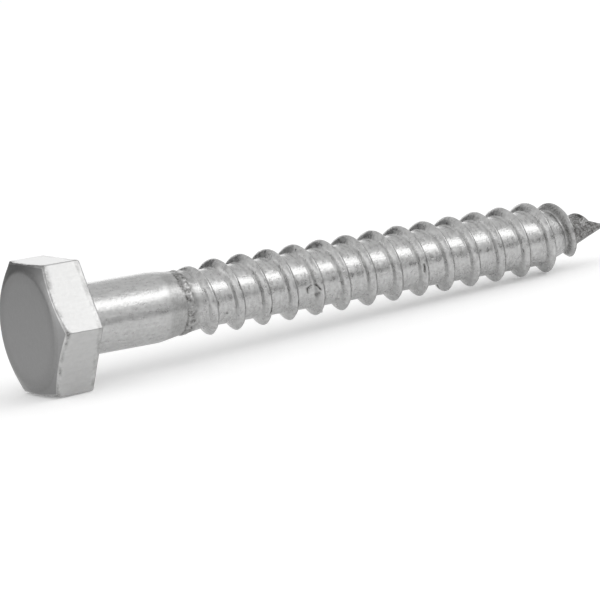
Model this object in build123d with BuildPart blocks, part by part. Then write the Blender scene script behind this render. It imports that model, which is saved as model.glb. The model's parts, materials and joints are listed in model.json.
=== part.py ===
from build123d import *
from math import atan2, cos, degrees, radians, sin, tan
import os

os.makedirs("parts", exist_ok=True)

# A hexagon head coach screw: one piece of steel wire, headed and then rolled to a coarse wood thread.
# Sizes are in millimetres. The screw is drawn straight, from the face under its head up along +Z,
# and is then laid down as it comes to rest: point towards +X, on a floor at Z = 0.

# Head
head_across_flats = 10.9
head_height = 3.95
head_disc_radius = 4.87
head_chamfer_angle = 25
head_edge_round = 0.25
under_head_bevel = 0.25

# Shank, and the shoulder that leads down to the thread
shank_radius = 2.99
shoulder_length = 2.2

# Thread: one right-hand ridge with a sharp crest, wound round a core that is a little thicker at
# its start. The flank angle is measured from a plane square to the axis.
core_radius = 2.41
neck_radius = 2.63
crest_radius = 3.14
flank_angle = 33
pitch = 2.54
thread_turns = 16
ridge_start_angle = 332
run_in_turns = 1.25

# Gimlet point, where core and ridge both taper to a small blunt nose
screw_length = 51.9
core_taper_length = 6.6
crest_taper_length = 6.2
core_bulge = 1.05
crest_bulge = 1.3
nose_radius = 0.15
thread_end_gap = 1.35
run_out_turns = 0.35

# Each turn of the ridge's edges is a spline through so many steps. Its slope at the ends is taken
# across a short stretch, given as a share of a turn.
steps_per_turn = 11
slope_stretch = 0.0001

thread_end = screw_length - thread_end_gap
thread_start = thread_end - thread_turns * pitch
shank_length = thread_start - shoulder_length
nose_start = screw_length - nose_radius


def ease(share):
    """Go from 0 to 1 with level ends."""
    share = min(max(share, 0), 1)
    return share**2 * (3 - 2 * share)


def taper(z, length, bulge):
    """Share of the full radius left at height z: 1 down to 0 over the point, fuller than a cone."""
    start = screw_length - length
    return 1 - max(0, (z - start) / (nose_start - start)) ** bulge


def core_radius_at(z):
    """Radius of the core: the neck thins down in the first turn, and the point closes to the nose."""
    neck = (neck_radius - core_radius) * (1 - ease((z - thread_start) / pitch))
    return neck + nose_radius + (core_radius - nose_radius) * taper(z, core_taper_length, core_bulge)


def ridge_corners(turn):
    """Three corners of the ridge after so many turns, foot, crest and foot, as (radius, height)."""
    z = thread_start + pitch * turn
    fade = ease(turn / run_in_turns) * ease((thread_turns - turn) / run_out_turns)
    core = core_radius_at(z)
    rise = fade * (crest_radius * taper(z, crest_taper_length, crest_bulge) - core)
    half_foot = rise * tan(radians(flank_angle))
    return [
        (core_radius_at(z - half_foot), z - half_foot),
        (core + rise, z),
        (core_radius_at(z + half_foot), z + half_foot),
    ]


def rail_point(corner, turn):
    """Place of one corner of the ridge in space, wound round the axis."""
    radius, z = ridge_corners(turn)[corner]
    angle = radians(ridge_start_angle + 360 * turn)
    return Vector(radius * cos(angle), radius * sin(angle), z)


def rail(corner, turn):
    """One turn of the line that a corner of the ridge follows, level with its neighbours at the ends."""
    steps = [step / steps_per_turn for step in range(steps_per_turn + 1)]
    ends = [
        (max(end - slope_stretch, 0), min(end + slope_stretch, thread_turns))
        for end in (turn, turn + 1)
    ]
    slopes = [(rail_point(corner, b) - rail_point(corner, a)) / (b - a) for a, b in ends]
    points = [rail_point(corner, turn + step) for step in steps]
    return Edge.make_spline(points, tangents=slopes, parameters=steps, scale=False)


def end_ring(z):
    """Circle that closes the threaded length at one end, opened where the ridge runs out."""
    plane = Plane((0, 0, z))
    return Edge.make_circle(core_radius_at(z), plane, ridge_start_angle, ridge_start_angle + 360)


# The threaded length is one closed skin. Each turn has two flanks, which meet in the crest, and a
# band of core from the ridge's far foot to its near foot one turn on. The first band opens like a
# fan from the ring at the thread's start, and the last closes on the ring at its end.
start_ring = end_ring(thread_start)
finish_ring = end_ring(thread_end)
rails = [[rail(corner, turn) for corner in range(3)] for turn in range(thread_turns)]
near_feet = [turn_rails[0] for turn_rails in rails[1:]] + [finish_ring]
skin = [Face.make_surface_from_curves(start_ring, rails[0][0])]
for (near_foot, crest, far_foot), next_foot in zip(rails, near_feet):
    skin.append(Face.make_surface_from_curves(near_foot, crest))
    skin.append(Face.make_surface_from_curves(crest, far_foot))
    skin.append(Face.make_surface_from_curves(far_foot, next_foot))
skin += [Face(Wire([start_ring])), Face(Wire([finish_ring]))]
threaded_length = Solid(Shell(skin))

# The turned lengths start and end their sweep where the ridge does, so that the rings match
seam_plane = Plane.XZ.rotated((0, 0, ridge_start_angle))


with BuildPart() as straight_screw:
    # Hexagon head with a softened edge round its bearing face
    with BuildSketch(Plane.XY.offset(-head_height)):
        RegularPolygon(head_across_flats / 2, 6, major_radius=False, rotation=30)
    extrude(amount=head_height)
    fillet(straight_screw.edges().group_by(Axis.Z)[-1], head_edge_round)

    # The free end is turned down to a flat disc, which cuts the hexagon's corners back
    chamfer_drop = (head_across_flats - head_disc_radius) * tan(radians(head_chamfer_angle))
    with BuildSketch(Plane.XZ):
        with BuildLine():
            Polyline(
                (0, 0),
                (0, -head_height),
                (head_disc_radius, -head_height),
                (head_across_flats, chamfer_drop - head_height),
                (head_across_flats, 0),
                close=True,
            )
        make_face()
    revolve(axis=Axis.Z, mode=Mode.INTERSECT)

    # Shank and shoulder
    with BuildSketch(seam_plane):
        with BuildLine():
            bevel_radius = shank_radius + under_head_bevel
            Polyline(
                (0, -head_height / 2),
                (bevel_radius, -head_height / 2),
                (bevel_radius, 0),
                (shank_radius, under_head_bevel),
                (shank_radius, shank_length),
                (neck_radius, thread_start),
                (0, thread_start),
                close=True,
            )
        make_face()
    revolve(axis=Axis.Z)

    # Threaded length, then the bare nose of the point
    add(threaded_length)
    with BuildSketch(seam_plane):
        with BuildLine():
            Polyline(
                (0, thread_end),
                (core_radius_at(thread_end), thread_end),
                (nose_radius, nose_start),
                (0, screw_length),
                close=True,
            )
        make_face()
    revolve(axis=Axis.Z)

# At rest the screw leans on one flat of its head and on the crest that touches down first.
# The underside is at angle 0, where the ridge passes once in each turn.
first_pass = (360 - ridge_start_angle) / 360
passes = [ridge_corners(first_pass + turn)[1] for turn in range(thread_turns)]
leans = [atan2(head_across_flats / 2 - radius, z + head_edge_round) for radius, z in passes]
rest_tilt = degrees(min(leans))

with BuildPart() as lying_screw:
    add(straight_screw.part, rotation=(0, 90 + rest_tilt, 0))
box = lying_screw.part.bounding_box()

with BuildPart() as coach_screw:
    with Locations((-box.center().X, -box.center().Y, -box.min.Z)):
        add(lying_screw.part)

coach_screw.part.label = "coach_screw"
export_step(coach_screw.part, "parts/coach_screw.step")
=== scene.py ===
# %% [markdown]
# # A coach screw
#
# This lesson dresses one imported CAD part, a hexagon head coach screw, for a studio picture. The
# CAD solid gives the size and the place. Here the same screw is drawn again as one fine closed
# surface, with the softened edges, the seam along the thread and the small marks that rolled steel
# has, and then gets its finish, its light and its camera.

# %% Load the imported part
import json
import math

import bpy
import numpy as np
from mathutils import Matrix, Vector


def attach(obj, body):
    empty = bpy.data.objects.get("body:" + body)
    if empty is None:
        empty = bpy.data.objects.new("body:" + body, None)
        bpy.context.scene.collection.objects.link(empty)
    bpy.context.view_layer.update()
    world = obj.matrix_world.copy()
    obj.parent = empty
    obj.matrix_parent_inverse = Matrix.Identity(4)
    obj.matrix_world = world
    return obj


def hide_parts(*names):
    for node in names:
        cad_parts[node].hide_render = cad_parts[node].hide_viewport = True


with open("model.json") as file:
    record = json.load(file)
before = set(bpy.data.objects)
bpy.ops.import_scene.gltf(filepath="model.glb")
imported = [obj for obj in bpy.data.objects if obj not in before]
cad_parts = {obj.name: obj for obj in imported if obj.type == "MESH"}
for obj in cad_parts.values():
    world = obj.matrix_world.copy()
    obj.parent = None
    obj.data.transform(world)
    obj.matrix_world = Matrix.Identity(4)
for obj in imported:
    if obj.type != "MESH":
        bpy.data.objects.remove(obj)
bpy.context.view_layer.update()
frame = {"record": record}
mm = 0.001

# %% [markdown]
# ## Where the screw lies
#
# The screw rests on one flat of its head and on one thread crest, so its axis dips a little towards
# the point. The record of the part says where the face under the head is and which way the screw
# points from there. Every shape below is worked out straight, along its own axis, and these three
# directions carry it into place.

# %% Place and directions of the axis
bearing_face = next(m for m in frame["record"]["mounts"] if m["name"] == "bearing_face")
bearing_centre = np.array(bearing_face["pos_m"])
along = np.array(bearing_face["axis"]) / np.linalg.norm(bearing_face["axis"])
across = np.array([0.0, 1.0, 0.0])
under = np.cross(across, along)


def place(radius, angle, height):
    """Points on and around the axis: radius at an angle from straight under, height from the bearing face."""
    radius, angle, height = np.broadcast_arrays(radius, angle, height)
    return (
        bearing_centre
        + (radius * np.cos(angle))[..., None] * under
        + (radius * np.sin(angle))[..., None] * across
        + height[..., None] * along
    )


print("axis dips by", round(math.degrees(math.asin(-along[2])), 2), "degrees")

# %% [markdown]
# ## Sizes
#
# The driving sizes are those of the CAD part. The crest stands a hair lower than the solid's, so
# that the drawn screw stays inside the solid's box. The thread also runs in a little sooner and the
# nose is a little rounder than the solid's, as a close look at the photo shows. The last three values
# say which side of the screw the camera sees, where the dark scale on the point starts, and where a
# weaker stain lies on the flank before it.

# %% Sizes of head, shank, thread and point
across_flats = 10.9 * mm
head_height = 3.95 * mm
head_disc_radius = 4.87 * mm
head_chamfer_slope = math.tan(math.radians(25))
shank_radius = 2.99 * mm
under_head_round = 0.25 * mm
shoulder_length = 2.2 * mm
core_radius = 2.41 * mm
neck_radius = 2.63 * mm
crest_radius = 3.115 * mm
ridge_half_width = 0.48 * mm
pitch = 2.54 * mm
thread_turns = 16
ridge_start_angle = math.radians(332)
run_in_turns = 1.0
run_out_turns = 0.35
screw_length = 51.9 * mm
core_taper_length = 6.6 * mm
crest_taper_length = 6.2 * mm
core_bulge = 1.05
crest_bulge = 1.3
nose_radius = 0.22 * mm
thread_end_gap = 1.35 * mm
thread_end = screw_length - thread_end_gap
thread_start = thread_end - thread_turns * pitch
shank_length = thread_start - shoulder_length
nose_start = screw_length - nose_radius
camera_side = math.radians(262)
scaled_from = 47.45 * mm
stained_at = 47.12 * mm
print("thread from", round(thread_start / mm, 2), "to", round(thread_end / mm, 2), "mm")

# %% [markdown]
# ## The blank under the thread
#
# Before it is rolled, the screw is a turned blank: a shank, a shoulder that falls to the neck, a
# core, and a cone that bulges a little and ends in a round nose. Its radius depends on the height
# alone, so it is one function of one number.

# %% Radius of the blank
def ease(share):
    """Goes from 0 to 1 with level ends: three times the square less twice the cube."""
    share = np.clip(share, 0, 1)
    return share**2 * (3 - 2 * share)


def taper(z, length, bulge):
    """Share of the full radius left at height z on the point: 1 less the way along it, to a power."""
    start = screw_length - length
    return 1 - np.clip((z - start) / (nose_start - start), 0, 1) ** bulge


def core_radius_at(z):
    """Radius between the turns: the neck thins down in the first turn, the point closes to the nose."""
    neck = (neck_radius - core_radius) * (1 - ease((z - thread_start) / pitch))
    return neck + nose_radius + (core_radius - nose_radius) * taper(z, core_taper_length, core_bulge)


def blank_radius_at(z):
    """Shank radius down to the shoulder, a straight fall to the neck with eased corners, then the core."""
    softness = 0.35 * mm
    fall = np.mean(
        [
            np.clip((z + softness * step - shank_length) / shoulder_length, 0, 1)
            for step in np.linspace(-1, 1, 9)
        ],
        axis=0,
    )
    shoulder = shank_radius + (neck_radius - shank_radius) * fall
    return np.where(z < thread_start + softness, np.maximum(shoulder, core_radius_at(z)), core_radius_at(z))


# %% [markdown]
# ## The ridge
#
# The thread is one ridge that climbs a pitch in each turn. Seen along the thread, each place on the
# surface lies some way from the middle of the nearest pass of the ridge. That distance decides how
# high the ridge stands there. A plain triangle would give flanks that mirror one flat tone. Rolled
# steel has bulged flanks with a steep foot, which draws the dark crescent beside each ridge, and a
# crest that is blunt and leans a little towards the point. Both are shares in one formula here, so
# that they are easy to try out.

# %% Radius of the smooth thread
crest_bluntness = 0.15
ridge_lean = 0.08
ridge_fullness = 0.46
root_ease = 0.03
foot_softness = 0.11 * mm


def nearest_pass(angle, z):
    """The turn of the ridge that passes nearest, and the distance from its middle along the axis."""
    climbed = (z - thread_start) / pitch - (angle - ridge_start_angle) / (2 * np.pi)
    offset = climbed - np.round(climbed)
    return (z - thread_start) / pitch - offset, offset * pitch


def crest_height(angle):
    """Height of the ridge's middle at an angle that counts on from turn to turn."""
    return thread_start + pitch * (angle - ridge_start_angle) / (2 * np.pi)


def softly_above(value, softness):
    """The larger of a value and zero, rounded off where they meet: half the sum of value and hypotenuse."""
    return (value + np.hypot(value, softness)) / 2


def ridge_section(offset, rise, half_width):
    """Height of the ridge over the core. A way goes from 1 at the crest to 0 at the foot: 1 plus the
    bluntness, less the hypotenuse of the bluntness and the offset. The rise times a power of it bulges
    the flanks. Past the foot it turns negative, so that the foot can be eased."""
    from_crest = offset - ridge_lean * half_width / 2
    side_width = half_width * (1 - ridge_lean * np.sign(from_crest))
    steepness = math.sqrt(1 + 2 * crest_bluntness) / side_width
    way = 1 + crest_bluntness - np.hypot(from_crest * steepness, crest_bluntness)
    bulged = way * ((1 + root_ease) / (np.abs(way) + root_ease)) ** (1 - ridge_fullness)
    return softly_above(rise * bulged, foot_softness)


def ridge_height(angle, z):
    """Height of the ridge at an angle and a height, faded in and out at the ends of the thread."""
    turn, offset = nearest_pass(angle, z)
    fade = ease(turn / run_in_turns) * ease((thread_turns - turn) / run_out_turns)
    top = crest_radius * taper(thread_start + pitch * turn, crest_taper_length, crest_bulge)
    rise = np.maximum(fade * (top - core_radius_at(z)), 0)
    presence = np.minimum(1, rise / (0.1 * mm))
    half_width = ridge_half_width * (0.4 + 0.6 * np.sqrt(fade))
    return presence * ridge_section(offset, rise, half_width)


print("ridge at its crest, mm:", float(ridge_height(ridge_start_angle, thread_start + 8 * pitch)) / mm)

# %% [markdown]
# ## Marks of the rolling
#
# Cold rolled steel isn't a drawing. Where the dies first bite, the skin is crumpled into a rough
# ring with a lap at its foot. Along the crest runs a fine ragged seam, where the steel pushed up
# from both sides has met. Here and there the skin has lapped over or is pitted. All of these are
# real steps in the surface, so they are made in the mesh and not painted on. The small random part
# comes from one function, which gives smooth random values at places in space, so that it has no
# joint round the screw.

# %% Smooth random values
lattice_cells = 48
lattice = np.random.default_rng(7).uniform(-1, 1, (lattice_cells,) * 3)


def unevenness(angle, z, size):
    """Smooth random values from -1 to 1 that change over about size. The random numbers stand on a cubic
    lattice, and each value is blended from the eight corners of its cell by eased shares."""
    x, y = shank_radius * np.cos(angle), shank_radius * np.sin(angle)
    spot = np.stack(np.broadcast_arrays(x, y, z), axis=-1) / size
    low = np.floor(spot).astype(int)
    share = ease(spot - low)
    total = 0
    for corner in np.ndindex(2, 2, 2):
        weight = np.prod(np.where(corner, share, 1 - share), axis=-1)
        across_x, across_y, up = np.moveaxis((low + corner) % lattice_cells, -1, 0)
        total = total + weight * lattice[across_x, across_y, up]
    return total


print("a few values:", unevenness(np.linspace(0, 1, 4), 0 * mm, 0.3 * mm).round(2))

# %% [markdown]
# Each mark is a function of the angle and the height that says how strong it is there, and the last
# function adds them all to the smooth shape. It also gives a darkness for each place, because scale
# and dirt sit in the deep places, all over the point, and in a weaker band on the last flank before
# it, where the crest beside it is rubbed bright again.

# %% Fold, seam, laps and pits
fold_height = 0.13 * mm
fold_half_width = 0.4 * mm
fold_rise = 0.1 * mm
lap_before_fold = 0.42 * mm
lap_half_width = 0.09 * mm
lap_depth = 0.07 * mm
seam_offset = 0.13 * mm
seam_half_width = 0.045 * mm
seam_depth = 0.07 * mm
open_seam_turn = 12.8
fold_roughness = 0.055 * mm
crest_wear = 0.02 * mm
stain_half_width = 0.24 * mm

# How dark the point, the stain before it, the shoulder, the lap and the seam are, from 0 to 1
tip_dark = 0.82
stain_dark = 0.55
shoulder_dark = 0.22
lap_dark = 0.4
seam_dark = 0.8

# Each mark is a short line: the angle and the height of its middle, its tilt from the axis, its half
# length, its half width and its depth, in degrees and mm. A negative depth stands out.
marks = [
    (285, 21.14, 80, 0.22, 0.06, 0.10),
    (277, 21.37, -29, 0.20, 0.06, 0.10),
    (278, 21.92, 49, 0.24, 0.05, 0.11),
    (281, 21.62, 0, 0.12, 0.20, -0.05),
    (292, 21.95, -71, 0.16, 0.10, 0.05),
    (277, 12.62, 80, 0.18, 0.07, 0.06),
    (287, 12.56, 90, 0.16, 0.07, 0.07),
    (253, 14.55, 80, 0.26, 0.07, 0.09),
    (266, 20.25, 80, 0.12, 0.06, 0.07),
    (258, 20.05, 75, 0.15, 0.07, 0.07),
    (303, 17.44, 90, 0.16, 0.08, 0.20),
    (303, 13.52, 0, 0.05, 0.07, 0.09),
    (298, 20.02, 90, 0.10, 0.08, 0.12),
    (343, 23.12, 60, 0.10, 0.12, -0.32),
    (278, 32.21, 85, 0.28, 0.06, 0.08),
    (4, 35.10, 30, 0.14, 0.09, 0.10),
    (264, 33.42, 20, 0.10, 0.06, 0.07),
]


def fold_middle(angle, z):
    """Height of the middle of the crumpled ring, which wavers a little round the screw."""
    return thread_start + fold_rise + 0.25 * mm * unevenness(angle, z, 2.2 * mm)


def crumple(angle, z):
    """How crumpled the skin is, from 0 to 1, in a wavy ring where the dies first bite."""
    return np.exp(-(((z - fold_middle(angle, z)) / fold_half_width) ** 2))


def fold_lap(angle, z):
    """How open the lap at the foot of the crumpled ring is, from 0 to 1: a ragged line with gaps."""
    line = fold_middle(angle, z) - lap_before_fold + 0.06 * mm * unevenness(angle, z, 0.3 * mm)
    strength = np.clip(0.6 + 0.8 * unevenness(angle, z, 0.6 * mm), 0, 1)
    return strength * np.exp(-(((z - line) / lap_half_width) ** 2))


def seam(angle, z):
    """How open the seam on the crest is, from 0 to 1. It comes and goes along the thread, and stays open
    for one turn near the end, as in the photo."""
    turn, offset = nearest_pass(angle, z)
    coarse, fine = unevenness(angle, z, 0.9 * mm), unevenness(angle, z, 0.22 * mm)
    line = seam_offset + 0.03 * mm * (coarse + fine)
    broken = 0.8 * unevenness(angle, z, 1.1 * mm) + 0.6 * unevenness(angle, z, 0.25 * mm)
    strength = np.clip(0.6 + broken, 0, 1)
    strength = np.maximum(strength, ease(1.6 - 2 * np.abs(turn - open_seam_turn)))
    ends = ease((turn - 0.8) / 0.5) * ease((thread_turns - 0.5 - turn) / 0.5)
    return ends * strength * np.exp(-(((offset - line) / seam_half_width) ** 2))


def mark_depth(angle, z):
    """Depth of the laps and pits: a rounded groove along each short line."""
    depth = 0
    for at_angle, at_z, tilt, half_length, half_width, deep in marks:
        turned = np.angle(np.exp(1j * (angle - math.radians(at_angle)))) * core_radius
        risen = z - at_z * mm
        tilt = math.radians(tilt)
        length = np.abs(risen * math.cos(tilt) + turned * math.sin(tilt))
        width = turned * math.cos(tilt) - risen * math.sin(tilt)
        past_end = np.maximum(length - half_length * mm, 0)
        depth = depth + deep * mm * np.exp(-(np.hypot(past_end, width) / (half_width * mm)) ** 2)
    return depth


def threaded_surface(angle, z):
    """Radius of the whole shank and thread, and how dark each place is, from 0 to 1."""
    fold = crumple(angle, z)
    lap = fold_lap(angle, z)
    open_seam = seam(angle, z)
    marked = mark_depth(angle, z)
    ridge = ridge_height(angle, z)
    rough = unevenness(angle, z, 0.26 * mm) + 0.9 * unevenness(angle, z, 0.16 * mm)
    wavy_fold = fold * fold_height * (0.6 + 0.8 * unevenness(angle, z, 0.6 * mm))
    worn_crest = crest_wear * unevenness(angle, z, 0.7 * mm) * np.minimum(1, ridge / (0.6 * mm)) ** 2
    raised = np.maximum(ridge, wavy_fold) + fold * fold_roughness * rough
    sunk = lap_depth * lap + seam_depth * open_seam + np.abs(worn_crest) + marked
    climb = z - pitch * np.sin(angle - camera_side) / (2 * np.pi)
    patchy = 0.8 + 0.3 * unevenness(angle, z, 0.45 * mm)
    point = tip_dark * ease((climb - scaled_from) / (0.25 * mm)) * patchy
    stain = stain_dark * np.exp(-(((climb - stained_at) / stain_half_width) ** 2))
    dull_to = ease((thread_start + pitch / 2 - z) / (0.8 * mm))
    shoulder = shoulder_dark * ease((z - shank_length) / (0.6 * mm)) * dull_to
    spots = fold * np.clip(0.18 - 0.45 * rough, 0, 0.42)
    pits = np.clip(marked / (0.08 * mm), 0, 0.9)
    opened = lap_dark * lap + seam_dark * open_seam
    return blank_radius_at(z) + raised - sunk, np.clip(point + stain + shoulder + spots + opened + pits, 0, 1)


# %% [markdown]
# ## The grid that follows the thread
#
# A grid of rings would cut the crest at a slant and leave steps in it. So the grid's rows climb
# with the ridge: each column goes on by a small angle and each row keeps its distance from the
# ridge, and the last row of one turn is the first row of the next. Rows stand close where the ridge
# bends most. Round the crumpled ring, where the ridge is still low, they stand evenly instead. The
# rows open like a fan from a plain ring before the fold, and at the end they close on another.
# Columns stand closer on the side that faces the camera, where the marks are.

# %% Rows and columns of the threaded length
columns = 156
crowding = 0.35
end_ring_gap = 0.75 * mm
near_crest = [0.0, 0.035, 0.075, 0.12, 0.17, 0.235, 0.31]
towards_core = [0.39, 0.48, 0.58, 0.7, 0.84, 0.98, 1.12]
half_rows = np.append(np.array(near_crest + towards_core) * mm / pitch, 0.5)
ridge_rows = 0.5 + np.concatenate([-half_rows[:0:-1], half_rows])
rows = len(ridge_rows) - 1
even_rows = np.linspace(0, 1, rows + 1)


def column_angle(column):
    """Angle of a column: even steps, less a sine that draws them together on the camera's side."""
    even = ridge_start_angle + 2 * np.pi * column / columns
    return even - crowding * np.sin(even - camera_side)


first_column = -columns
grid_start = crest_height(column_angle(first_column)) - pitch / 2
grid_end_target = screw_length - end_ring_gap
last_column = first_column + int((grid_end_target - grid_start - pitch) / pitch * columns)
print("rows in a turn:", rows, "columns in a turn:", columns, "wound columns:", last_column - first_column)


class Shell:
    """Vertices and faces of one closed surface, joined block by block through shared vertex numbers."""

    def __init__(self):
        self.points = []
        self.dark = []
        self.faces = []
        self.finishes = []
        self.count = 0

    def add(self, radius, angle, height, dark=0.0):
        """Keeps a block of points round the axis, each with its darkness, and gives their numbers."""
        points = place(radius, angle, height)
        numbers = self.count + np.arange(points[..., 0].size).reshape(points.shape[:-1])
        self.points.append(points.reshape(-1, 3))
        self.dark.append(np.broadcast_to(dark, numbers.shape).ravel())
        self.count += numbers.size
        return numbers

    def add_threaded(self, angle, height):
        """Keeps a block of points of the shank and thread."""
        radius, dark = threaded_surface(angle, height)
        return self.add(radius, angle, height, dark)

    def skin(self, numbers, finish):
        """Faces between neighbours of a block of vertex numbers: rows along the screw, columns round it.
        Where two corners of a face are one vertex, the face is a triangle. finish is one number for all
        faces, or one for each row."""
        corners = np.stack(
            [numbers[:-1, :-1], numbers[:-1, 1:], numbers[1:, 1:], numbers[1:, :-1]], axis=-1
        ).reshape(-1, 4)
        finish = np.repeat(np.broadcast_to(finish, len(numbers) - 1), numbers.shape[1] - 1)
        pinched = [corners[:, k] == corners[:, (k + 1) % 4] for k in range(4)]
        whole = ~np.any(pinched, axis=0)
        self.faces += corners[whole].tolist()
        self.finishes += finish[whole].tolist()
        for k in range(4):
            keep = [j for j in range(4) if j != k]
            self.faces += corners[pinched[k]][:, keep].tolist()
            self.finishes += finish[pinched[k]].tolist()


end_finish, facet_finish, thread_finish = 0, 1, 2

# %% [markdown]
# The winding itself is one block. Each column asks which turn it is in, and that decides how far
# its rows follow the ridge. At the far edge the last turn gets a row of its own.

# %% Wind the threaded length
screw = Shell()
wound_angle = column_angle(np.arange(first_column, last_column + 1))
wound_turn = (wound_angle - ridge_start_angle) / (2 * np.pi)
ridge_follows = ease((wound_turn - 0.5) / 0.6)
row_shares = even_rows[:, None] + (ridge_rows - even_rows)[:, None] * ridge_follows
wound_z = crest_height(wound_angle) + pitch * (row_shares - 0.5)
wound = screw.add_threaded(wound_angle, wound_z[:-1])
end_edge = screw.add_threaded(wound_angle[-columns:], wound_z[-1, -columns:])
wound = np.vstack([wound, np.concatenate([wound[0, columns:], end_edge])])
screw.skin(wound, thread_finish)
print("wound vertices:", screw.count)

# %% [markdown]
# Two fans finish the winding. At the start its rows come out of one vertex of a plain ring and
# spread over the first turn. At the end they close again on one vertex of the last ring.

# %% Fans at both ends of the winding
fan_angle = column_angle(first_column + np.arange(1, columns))
fan_z = grid_start + (crest_height(fan_angle) - pitch / 2 - grid_start) * even_rows[1:-1, None]
start_fan = screw.add_threaded(fan_angle, fan_z)
ring = screw.add_threaded(fan_angle, np.full(columns - 1, grid_start))
start_ring = np.concatenate([wound[0, :1], ring, wound[0, :1]])
tip_of_fan = np.full(rows - 1, wound[0, 0])
fan = np.vstack(
    [start_ring, np.column_stack([tip_of_fan, start_fan, wound[1:-1, 0]]), wound[0, : columns + 1]]
)
screw.skin(fan, thread_finish)

grid_end = wound_z[-1, -1]
fan_angle = column_angle(last_column + np.arange(1, columns))
fan_low = crest_height(fan_angle) - pitch / 2
fan_z = fan_low + (grid_end - fan_low) * ridge_rows[1:-1, None]
end_fan = screw.add_threaded(fan_angle, fan_z)
ring = screw.add_threaded(fan_angle, np.full(columns - 1, grid_end))
end_ring = np.concatenate([end_edge[-1:], ring, end_edge[-1:]])
tip_of_fan = np.full(rows - 1, end_edge[-1])
fan = np.vstack(
    [wound[-1, -columns - 1 :], np.column_stack([wound[1:-1, -1], end_fan, tip_of_fan]), end_ring]
)
screw.skin(fan, thread_finish)
print("vertices with both fans:", screw.count)

# %% [markdown]
# ## The nose
#
# Past the last ring the core runs on to its small round nose: rings on a quarter of a circle, and
# one vertex at the very tip.

# %% Rings of the nose
nose_dark = 0.6
nose_steps = 6
quarter = np.linspace(0, np.pi / 2, nose_steps + 1)[:-1]
cone_z = np.linspace(grid_end, nose_start, nose_steps + 1)[1:-1]
nose_z = np.concatenate([cone_z, nose_start + nose_radius * np.sin(quarter)])
nose_r = np.concatenate([core_radius_at(cone_z), nose_radius * np.cos(quarter)])
ring_angle = column_angle(last_column + np.arange(columns))
nose = screw.add(nose_r[:, None], ring_angle, nose_z[:, None], nose_dark)
tip = screw.add(np.array([0.0]), 0.0, screw_length, nose_dark)
nose_rings = np.column_stack([nose, nose[:, :1]])
screw.skin(np.vstack([end_ring, nose_rings, np.full(columns + 1, tip[0])]), thread_finish)
print("rings of the nose:", len(nose_z))

# %% [markdown]
# ## The head
#
# The head is a hexagon with rounded corners, and its free end is turned down to a flat disc. Each
# column of the grid is one cut through the head along the axis: from the middle of the disc out
# over the turned cone, over the edge, along the flat, round the bearing edge and in to the shank.
# Columns stand closer at the corners, and every edge is a short curve with a row close by on either
# side, which keeps the broad faces flat in the light.

# %% Outline of the hexagon
corner_round = 0.16 * mm
side_columns = columns // 6
half_side = math.radians(30)
flat_half = (across_flats / 2 - corner_round) * math.tan(half_side)
flat_places = np.concatenate([[-1, -0.985], np.linspace(-0.955, 0.955, side_columns - 9), [0.985, 1]])
corner_reach = (across_flats / 2 - corner_round) / math.cos(half_side)
arc = np.radians([10, 20])
corner_out = np.stack([corner_reach + corner_round * np.cos(arc), corner_round * np.sin(arc)])
turn_back = [[math.cos(half_side), math.sin(half_side)], [-math.sin(half_side), math.cos(half_side)]]
after_corner = np.array(turn_back) @ corner_out
flat_x = np.full(len(flat_places), across_flats / 2)
side_x = np.concatenate([after_corner[0], flat_x, after_corner[0][::-1]])
side_y = np.concatenate([after_corner[1], flat_places * flat_half, -after_corner[1][::-1]])
corner_point = corner_reach + corner_round
side_angle = np.concatenate([[-half_side], np.arctan2(side_y, side_x)])
side_radius = np.concatenate([[corner_point], np.hypot(side_x, side_y)])
head_angle = (side_angle + 2 * half_side * np.arange(6)[:, None]).ravel()
wall_radius = np.tile(side_radius, 6)
print("columns of the head:", len(head_angle), "across corners, mm:", round(2 * corner_point / mm, 2))

# %% [markdown]
# A corner of the cut is rounded with a short parabola: it leaves the first line where the second
# would be reached, and the two ends count for less and less towards the middle.

# %% Rounded corners of a cut
def rounded(before, corner, after, size, steps):
    """Points of a parabola from size before a corner to size after it, and one point just outside each end.
    Weights are (1 - t) squared, 2 t (1 - t) and t squared. Points are (radius, height) pairs."""
    to_before = (before - corner) / np.linalg.norm(before - corner, axis=-1, keepdims=True)
    to_after = (after - corner) / np.linalg.norm(after - corner, axis=-1, keepdims=True)
    t = np.linspace(0, 1, steps)[:, None, None]
    first, last = corner + to_before * size, corner + to_after * size
    curve = (1 - t) ** 2 * first + 2 * t * (1 - t) * corner + t**2 * last
    guard = 0.35 * size
    return np.concatenate([(first + to_before * guard)[None], curve, (last + to_after * guard)[None]])


def between(start, end, count):
    """Points evenly spaced between two, without the two themselves."""
    t = np.linspace(0, 1, count + 2)[1:-1, None, None]
    return start + (end - start) * t


def cut_point(radius, height):
    """One (radius, height) pair for each column of the head."""
    return np.stack(np.broadcast_arrays(radius, height, wall_radius), axis=-1)[..., :2]


square = [cut_point(radius * mm, height * mm) for radius, height in ((4, 0), (5, 0), (5, 1))]
print("points of a rounded corner:", len(rounded(*square, 0.1 * mm, 4)))

# %% [markdown]
# The cut is now put together out of its four corners and the rows between them. There is one cut for
# each column, because a flat is nearer to the middle than a corner of the hexagon. The edge of the
# turned disc is soft, the edge between cone and flat is nearly sharp, and the edge of the bearing
# face is the roundest of the three.

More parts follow.
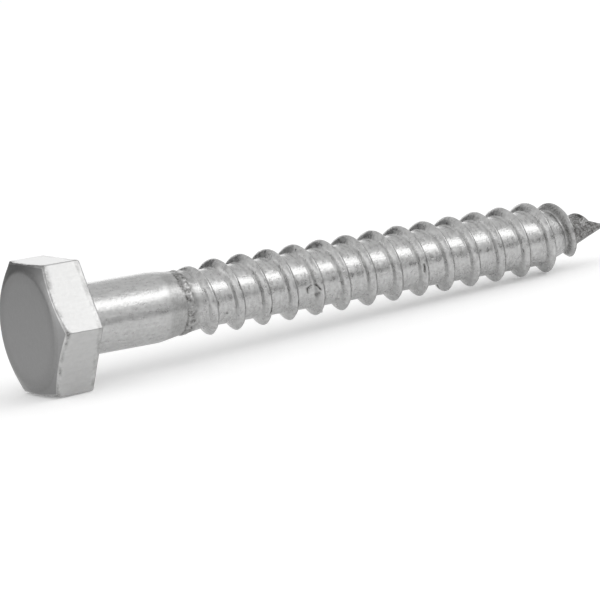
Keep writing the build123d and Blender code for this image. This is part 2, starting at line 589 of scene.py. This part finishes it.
# %% The cut through the head
disc_rows = 5
cone_rows = 4
wall_inner_rows = 14
face_rows = 6
disc_edge_round = 0.22 * mm
top_edge_round = 0.08 * mm
foot_edge_round = 0.36 * mm
disc_middle = cut_point(0, -head_height)
disc_edge = cut_point(head_disc_radius, -head_height)
cone_drop = (wall_radius - head_disc_radius) * head_chamfer_slope
wall_top = cut_point(wall_radius, cone_drop - head_height)
wall_foot = cut_point(wall_radius, 0)
shank_foot = cut_point(shank_radius, 0)
shank_top = cut_point(shank_radius, shank_length)
disc_corner = rounded(disc_middle, disc_edge, wall_top, disc_edge_round, 6)
top_corner = rounded(disc_edge, wall_top, wall_foot, top_edge_round, 5)
foot_corner = rounded(wall_top, wall_foot, shank_foot, foot_edge_round, 6)
root_corner = rounded(wall_foot, shank_foot, shank_top, under_head_round, 6)
cut = np.concatenate(
    [
        between(disc_middle, disc_corner[0], disc_rows),
        disc_corner,
        between(disc_corner[-1], top_corner[0], cone_rows),
        top_corner,
        between(top_corner[-1], foot_corner[0], wall_inner_rows),
        foot_corner,
        between(foot_corner[-1], root_corner[0], face_rows),
        root_corner,
    ]
)
end_rows = disc_rows + len(disc_corner) + cone_rows
wall_rows = len(top_corner) + wall_inner_rows + len(foot_corner)
root_rows = len(root_corner)
print("rows of the head:", len(cut))

# %% [markdown]
# A tumbled head has no clean edge. The edges of the six flats are rubbed back unevenly, and a few
# corners have nicks. Rows on those edges sink by a small random amount, and the same rows carry
# some darkness and count as worked steel, which the finish below makes rougher.

# %% Wear on the edges of the head
edge_wear = 0.06 * mm
nick_half_width = 0.22 * mm
worn_rows = np.zeros((len(cut), 1))
worn_rows[end_rows : end_rows + len(top_corner)] = 1
worn_rows[end_rows + len(top_corner) + wall_inner_rows : end_rows + wall_rows - 2] = 0.7

# Each nick is an angle in degrees, a height in mm and a depth in mm
nicks = [(270, -3.25, 0.10), (279, -3.35, 0.08), (222, -3.3, 0.05), (333, -3.3, 0.06)]


def wear(angle, z):
    """Depth that is rubbed off at an angle and a height: a random part, and a rounded hole for each nick."""
    depth = edge_wear * np.abs(unevenness(angle, z, 0.35 * mm))
    for nick_angle, nick_z, deep in nicks:
        turned_by = np.angle(np.exp(1j * (angle - math.radians(nick_angle)))) * across_flats / 2
        away = np.hypot(turned_by, z - nick_z * mm)
        depth = depth + deep * mm * np.exp(-(away / nick_half_width) ** 2)
    return depth


print("rows with wear:", int(np.count_nonzero(worn_rows)))

# %% [markdown]
# The columns of the head stand where the hexagon needs them, those of the shank evenly. On the flat
# bearing face, where it doesn't show, each column turns from one angle to the other.

# %% Wind head and shank
disc_edge_dark = 0.1
shank_rows = 40
ring_angle = column_angle(first_column + np.arange(columns))
turned = np.zeros(len(cut))
turned[-root_rows:] = 1
turned[-root_rows - face_rows : -root_rows] = np.linspace(0, 1, face_rows + 2)[1:-1]
cut_angle = head_angle + (ring_angle - head_angle) * turned[:, None]
head_radius, head_z = cut[..., 0], cut[..., 1]
worn = wear(cut_angle, head_z)
dirt = 0.08 + 0.35 * unevenness(cut_angle, head_z, 0.3 * mm) + worn / (0.25 * mm)
head_dark = np.clip(dirt, 0, 0.5) * worn_rows
head_dark[disc_rows : disc_rows + len(disc_corner)] = disc_edge_dark
head = screw.add(head_radius - worn_rows * worn, cut_angle, head_z, head_dark)
pole = screw.add(np.array([0.0]), 0.0, -head_height)
shank_z = np.linspace(cut[-1, 0, 1], grid_start, shank_rows + 2)[1:-1, None]
shank = screw.add_threaded(ring_angle, shank_z)
head_and_shank = np.vstack([head, shank])
head_and_shank = np.column_stack([head_and_shank, head_and_shank[:, 0]])
row_finish = np.full(len(head_and_shank) + 1, thread_finish)
row_finish[: end_rows + wall_rows] = facet_finish
row_finish[:end_rows] = end_finish
screw.skin(np.vstack([np.full(columns + 1, pole[0]), head_and_shank, start_ring]), row_finish)
print("vertices:", screw.count, "faces:", len(screw.faces))

# %% [markdown]
# ## One closed mesh
#
# All blocks share their border vertices, so the screw is one skin with no gap and no hole. The mesh
# carries two values at each vertex for the finish: how much dark scale sits there, and how far the
# steel is worked, by rolling on the thread and by wear on the edges of the head.

# %% Make the mesh
points = np.concatenate(screw.points)
mesh = bpy.data.meshes.new("coach_screw_surface")
mesh.from_pydata(points.tolist(), [], screw.faces)
mesh.polygons.foreach_set("material_index", screw.finishes)
mesh.polygons.foreach_set("use_smooth", [True] * len(screw.faces))
mesh.attributes.new("dark_scale", "FLOAT", "POINT").data.foreach_set("value", np.concatenate(screw.dark))
height_along = (points - bearing_centre) @ along
worked = ease((height_along - shank_length) / shoulder_length)
worked[head] = worn_rows
mesh.attributes.new("worked", "FLOAT", "POINT").data.foreach_set("value", worked)
mesh.update()
piece = bpy.data.objects.new("coach_screw_surface", mesh)
bpy.context.collection.objects.link(piece)
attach(piece, "root")
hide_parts("coach_screw")

# %% [markdown]
# Three corners of a triangle and the origin span a small pyramid, whose volume is a sixth of the
# triple product of the corners. Added up over a closed skin, the pyramids give its volume, and it
# is positive only if the faces look outward.

# %% Count its triangles and its volume
mesh.calc_loop_triangles()
triangles = np.empty(len(mesh.loop_triangles) * 3, dtype=int)
mesh.loop_triangles.foreach_get("vertices", triangles)
corners = points[triangles.reshape(-1, 3)]
volume = np.einsum("ij,ij->i", corners[:, 0], np.cross(corners[:, 1], corners[:, 2])).sum() / 6
print("triangles:", len(triangles) // 3, "volume, mm3:", round(volume / mm**3, 1))

# %% [markdown]
# ## Steel
#
# Bare bright steel is all reflection, so its colour is nearly neutral, and what the eye reads is how
# sharp and how even the reflection is. Drawn wire has faint lines along it, and rolled thread has
# them round it. One node group makes what all finishes share out of soft clouds, lines and a fine
# grain. It gives a tone, a cover of dark scale that is broken up by the grain, and a height.

# %% Node group for uneven steel
uneven = bpy.data.node_groups.new("uneven_steel", "ShaderNodeTree")
uneven.interface.new_socket("Vector", in_out="INPUT", socket_type="NodeSocketVector")
for label in ("Worked", "Dark", "Plain Share"):
    uneven.interface.new_socket(label, in_out="INPUT", socket_type="NodeSocketFloat")
for label in ("Tone", "Cover", "Height"):
    uneven.interface.new_socket(label, in_out="OUTPUT", socket_type="NodeSocketFloat")
group_in = uneven.nodes.new("NodeGroupInput")
group_out = uneven.nodes.new("NodeGroupOutput")


def add_node(tree, kind, settings=None, **inputs):
    """A node of a kind in a tree. settings are its own properties. inputs are given by name, with _ for a
    space, or as input_3 for the fourth, each as a value or as another node's output."""
    made = tree.nodes.new(kind)
    for label, value in (settings or {}).items():
        setattr(made, label, value)
    for label, value in inputs.items():
        numbered = label.startswith("input_")
        socket = made.inputs[int(label[6:])] if numbered else made.inputs[label.replace("_", " ")]
        if isinstance(value, bpy.types.NodeSocket):
            tree.links.new(value, socket)
        else:
            socket.default_value = value
    return made


print("sockets of the group:", [item.name for item in uneven.interface.items_tree])

# %% [markdown]
# The noises are measured in metres, so a scale of 4000 has about four swells in a millimetre. The
# axis is turned level first, and then each noise is stretched: along the screw for drawn wire and
# round it for rolled thread.

# %% Noises of the group
axis_tilt = (0, -math.asin(-along[2]), 0)
level_axis = add_node(uneven, "ShaderNodeMapping", Vector=group_in.outputs["Vector"], Rotation=axis_tilt)


def noise(stretch, scale, detail):
    """A noise over the screw, its axis level along X. stretch scales the three directions apart."""
    stretched = add_node(uneven, "ShaderNodeMapping", Vector=level_axis.outputs["Vector"], Scale=stretch)
    texture = add_node(
        uneven, "ShaderNodeTexNoise", Vector=stretched.outputs["Vector"], Scale=scale, Detail=detail
    )
    return texture.outputs["Fac"]


def mix(first, second, share):
    """A blend of two values in the group."""
    return add_node(uneven, "ShaderNodeMix", A=first, B=second, Factor=share).outputs["Result"]


clouds = noise((1, 1, 1), 3200, 4)
grain = noise((1, 1, 1), 6500, 2)
worked_share = group_in.outputs["Worked"]
lines = mix(noise((0.25, 1, 1), 3800, 4), noise((1, 0.35, 0.35), 4200, 4), worked_share)
print("noises:", [node.inputs["Scale"].default_value for node in uneven.nodes if node.type == "TEX_NOISE"])

# %% [markdown]
# Steel that isn't worked keeps only a share of the unevenness. That share pulls the tone and the
# height towards their middle, which is 0.5.

# %% Tone, cover and height
strength = add_node(
    uneven, "ShaderNodeMapRange", Value=worked_share, To_Min=group_in.outputs["Plain Share"], To_Max=1.0
).outputs["Result"]
pattern_tone = mix(0.5, mix(clouds, lines, 0.5), strength)
height = mix(0.5, mix(mix(lines, grain, 0.5), clouds, 0.5), strength)
tone = add_node(uneven, "ShaderNodeMapRange", Value=pattern_tone, From_Min=0.32, From_Max=0.68)
speckle = add_node(
    uneven, "ShaderNodeMapRange", Value=grain, From_Min=0.36, From_Max=0.64, To_Min=1.35, To_Max=0.65
)
cover = add_node(
    uneven,
    "ShaderNodeMath",
    {"operation": "MULTIPLY", "use_clamp": True},
    input_0=group_in.outputs["Dark"],
    input_1=speckle.outputs["Result"],
)
uneven.links.new(tone.outputs["Result"], group_out.inputs["Tone"])
uneven.links.new(cover.outputs["Value"], group_out.inputs["Cover"])
uneven.links.new(height, group_out.inputs["Height"])
print("nodes in the group:", len(uneven.nodes))

# %% [markdown]
# Each finish sets its own colour, its own range of roughness and its own relief. The tone moves the
# colour and the roughness up and down together. Where the dark scale sits, the colour goes over to
# the scale's and the surface is dull. A mix of colours has its two colours in sockets 6 and 7 and
# its result in socket 2, after those for plain values and vectors.

# %% One finish of steel
scale_colour = (0.07, 0.067, 0.063)
scale_roughness = 0.6


def steel(name, colour, roughness, tone_spread, relief, plain_share):
    """A bare metal. roughness is its lowest and highest, tone_spread how far the colour goes up and down as
    a share, relief the height of lines and grain where the steel is worked, and plain_share how much of the
    unevenness is left where it isn't."""
    material = bpy.data.materials.new(name)
    material.use_nodes = True
    tree = material.node_tree
    shader = tree.nodes["Principled BSDF"]
    shader.inputs["Metallic"].default_value = 1
    where = add_node(tree, "ShaderNodeTexCoord")
    worked_value = add_node(tree, "ShaderNodeAttribute", {"attribute_name": "worked"})
    dark_value = add_node(tree, "ShaderNodeAttribute", {"attribute_name": "dark_scale"})
    pattern = add_node(
        tree,
        "ShaderNodeGroup",
        {"node_tree": uneven},
        Vector=where.outputs["Object"],
        Worked=worked_value.outputs["Fac"],
        Dark=dark_value.outputs["Fac"],
        Plain_Share=plain_share,
    )
    tone, cover = pattern.outputs["Tone"], pattern.outputs["Cover"]
    rough = add_node(tree, "ShaderNodeMix", A=roughness[0], B=roughness[1], Factor=tone)
    dull = add_node(tree, "ShaderNodeMix", A=rough.outputs["Result"], B=scale_roughness, Factor=cover)
    low, high = ((*(value * (1 + way * tone_spread) for value in colour), 1) for way in (-1, 1))
    of_colours = {"data_type": "RGBA"}
    bare = add_node(tree, "ShaderNodeMix", of_colours, input_6=low, input_7=high, Factor=tone)
    covered = add_node(
        tree, "ShaderNodeMix", of_colours, input_6=bare.outputs[2], input_7=(*scale_colour, 1), Factor=cover
    )
    bump = add_node(
        tree, "ShaderNodeBump", Height=pattern.outputs["Height"], Strength=1.0, Distance=relief
    )
    tree.links.new(dull.outputs["Result"], shader.inputs["Roughness"])
    tree.links.new(covered.outputs[2], shader.inputs["Base Color"])
    tree.links.new(bump.outputs["Normal"], shader.inputs["Normal"])
    return material


# The end of the head has a much darker colour than the other steel. This is painted shade, standing in for
# the darker surroundings that the end mirrors.
end_grey_painted_shade = (0.27, 0.27, 0.27)
facet_grey = (0.5, 0.5, 0.497)
thread_grey = (0.515, 0.515, 0.512)
finishes = [
    steel("turned_end_steel_painted_shade", end_grey_painted_shade, (0.38, 0.46), 0.2, relief=0.03 * mm, plain_share=0.2),
    steel("brushed_facet_steel", facet_grey, (0.26, 0.44), 0.3, relief=0.07 * mm, plain_share=0.2),
    steel("rolled_steel", thread_grey, (0.2, 0.42), 0.24, relief=0.05 * mm, plain_share=0.65),
]
for material in finishes:
    mesh.materials.append(material)
print("finishes:", [material.name for material in mesh.materials])

# %% [markdown]
# ## Floor, light and world
#
# A small bright part shows its form by what it mirrors. So the screw lies on a pale floor, which
# lights its underside, under broad soft lamps and a plain grey world.
#
# The photo's ground is pure white. The floor is a plain pale colour that takes the screw's shadow,
# and a little light of its own, seen by the camera and in the steel only, lifts it to white without
# lighting the screw.

# %% Floor
floor_half = 2.0
floor_colour = (0.95, 0.95, 0.95, 1)
floor_lift = 0.17
floor_corners = [(x * floor_half, y * floor_half, 0) for x, y in ((-1, -1), (1, -1), (1, 1), (-1, 1))]
floor_mesh = bpy.data.meshes.new("floor")
floor_mesh.from_pydata(floor_corners, [], [(0, 1, 2, 3)])
floor = bpy.data.objects.new("floor", floor_mesh)
bpy.context.collection.objects.link(floor)
pale = bpy.data.materials.new("pale_floor")
pale.use_nodes = True
pale_tree = pale.node_tree
pale_shader = pale_tree.nodes["Principled BSDF"]
pale_shader.inputs["Base Color"].default_value = floor_colour
pale_shader.inputs["Roughness"].default_value = 0.9
pale_shader.inputs["Specular IOR Level"].default_value = 0.1
pale_shader.inputs["Emission Color"].default_value = (1, 1, 1, 1)
seen = add_node(pale_tree, "ShaderNodeLightPath")
either = add_node(
    pale_tree,
    "ShaderNodeMath",
    {"operation": "MAXIMUM"},
    input_0=seen.outputs["Is Camera Ray"],
    input_1=seen.outputs["Is Glossy Ray"],
)
lift = add_node(
    pale_tree,
    "ShaderNodeMath",
    {"operation": "MULTIPLY"},
    input_0=either.outputs["Value"],
    input_1=floor_lift,
)
pale_tree.links.new(lift.outputs["Value"], pale_shader.inputs["Emission Strength"])
floor_mesh.materials.append(pale)
print("floor, m:", [round(side, 2) for side in floor.dimensions])

# %% [markdown]
# Three lamps stand close to where the camera's line of sight goes after it bounces off the head: a
# long one high on the right for the upper right facet, which also makes the bright streak along the
# shank, a small one on the left for the turned edge, and a weak one low at the back for the top
# facet. The fourth is wide and low, behind the camera on the left, and brightens the near flanks of
# the thread. It was the best of six that were tried. Glow is the brightness of a lamp's face, where
# 1 is the white of the picture. The last two of the four in the list are seen in the steel only, so
# that they don't light the floor.

# %% Lamps and world
def softbox(name, turn, rise, distance, width, height, glow):
    """A rectangular lamp that faces the screw. turn is degrees round from the line of sight towards the
    right of the picture, rise is degrees above the floor, and glow is how bright its face is."""
    light = bpy.data.lights.new(name, "AREA")
    light.shape = "RECTANGLE"
    light.size = width
    light.size_y = height
    light.energy = glow * math.pi * width * height
    lamp = bpy.data.objects.new(name, light)
    bearing = view_turn + math.radians(turn)
    rise = math.radians(rise)
    level = math.cos(rise)
    towards = Vector((math.sin(bearing) * level, math.cos(bearing) * level, math.sin(rise)))
    lamp.location = towards * distance
    lamp.rotation_euler = towards.to_track_quat("Z", "Y").to_euler()
    lamp.visible_camera = False
    bpy.context.collection.objects.link(lamp)
    return lamp


view_turn = math.radians(28.22)
world_grey = (0.8, 0.8, 0.8, 1)

# Each lamp has a turn and a rise in degrees, then its distance, width and height in metres, then its glow
softbox("key_softbox", 112, 38, 0.6, 0.8, 0.22, 1.7)
softbox("left_softbox", -103, 15, 1.0, 0.35, 0.35, 2.0)
softbox("back_softbox", 2, 13, 1.2, 0.9, 0.4, 1.0).visible_diffuse = False
softbox("flank_softbox", -142, 15, 1.0, 0.8, 0.2, 1.2).visible_diffuse = False
world = bpy.data.worlds.new("studio")
world.use_nodes = True
world.node_tree.nodes["Background"].inputs["Color"].default_value = world_grey
world.node_tree.nodes["Background"].inputs["Strength"].default_value = 1
bpy.context.scene.world = world
bpy.context.scene.view_settings.view_transform = "Standard"

# %% [markdown]
# A photographer stands dark cards near bright metal, because a mirror with nothing dark in it looks
# like paper. The card on the left gives the end of the head its mid grey, together with the painted
# shade in the end's colour, and draws the dark side of each ridge. The low strip in front draws the
# dark line under the bright streak. Neither card is seen by the camera, and neither throws a shadow.

# %% Dark cards
card_black = bpy.data.materials.new("card_black")
card_black.use_nodes = True
card_black.node_tree.nodes["Principled BSDF"].inputs["Base Color"].default_value = (0.17, 0.17, 0.17, 1)
card_black.node_tree.nodes["Principled BSDF"].inputs["Roughness"].default_value = 1


def dark_card(name, foot, height):
    """A dark card that stands on a line of floor points. Only the steel's reflections see it."""
    count = len(foot)
    card_mesh = bpy.data.meshes.new(name)
    faces = [(k, k + 1, k + count + 1, k + count) for k in range(count - 1)]
    card_mesh.from_pydata(np.vstack([foot, foot + [0, 0, height]]).tolist(), [], faces)
    card_mesh.materials.append(card_black)
    card = bpy.data.objects.new(name, card_mesh)
    bpy.context.collection.objects.link(card)
    card.visible_camera = False
    card.visible_diffuse = False
    card.visible_shadow = False
    return card


left_reach = 160 * mm
strip_height = 3.6 * mm
card_turn = view_turn + np.radians(np.linspace(-82, -30, 40))
left_foot = left_reach * np.column_stack([np.sin(card_turn), np.cos(card_turn), 0 * card_turn])
left_card = dark_card("left_card", left_foot, left_reach)
strip_foot = np.array([(-60, -18, 0), (120, -18, 0)]) * mm
front_strip = dark_card("front_strip", strip_foot, strip_height)
print("cards, mm:", [[round(side / mm) for side in card.dimensions] for card in (left_card, front_strip)])

# %% [markdown]
# ## Camera
#
# The picture was taken from the head's side and a little above, with a long lens that keeps the
# thread's pitch nearly even from end to end. The camera is turned a little about its own line of
# sight, because the screw climbs to the right in the picture. The angles, the distance and the
# place it looks at were fitted to the photo's outline, which the screw follows to about a pixel on
# average.

# %% Camera
view_dip = math.radians(9.041)
camera_roll = math.radians(8.831)
camera_distance = 479.35 * mm
focal_pixels = 5700
picture_pixels = 600
lens_to_width = focal_pixels / picture_pixels
aim = Vector((-1.580, 1.411, 2.465)) * mm
level_part = math.cos(view_dip)
forward = Vector((math.sin(view_turn) * level_part, math.cos(view_turn) * level_part, -math.sin(view_dip)))
camera_data = bpy.data.cameras.new("camera")
camera_data.lens = camera_data.sensor_width * lens_to_width
camera_data.clip_start = 0.01
camera_data.clip_end = 20
camera = bpy.data.objects.new("camera", camera_data)
unrolled = forward.to_track_quat("-Z", "Y").to_matrix()
camera.rotation_euler = (unrolled @ Matrix.Rotation(-camera_roll, 3, "Z")).to_euler()
camera.location = aim - forward * camera_distance
bpy.context.collection.objects.link(camera)
bpy.context.scene.camera = camera
print("lens, mm:", round(camera_data.lens, 1), "camera at, mm:", [round(v / mm, 1) for v in camera.location])
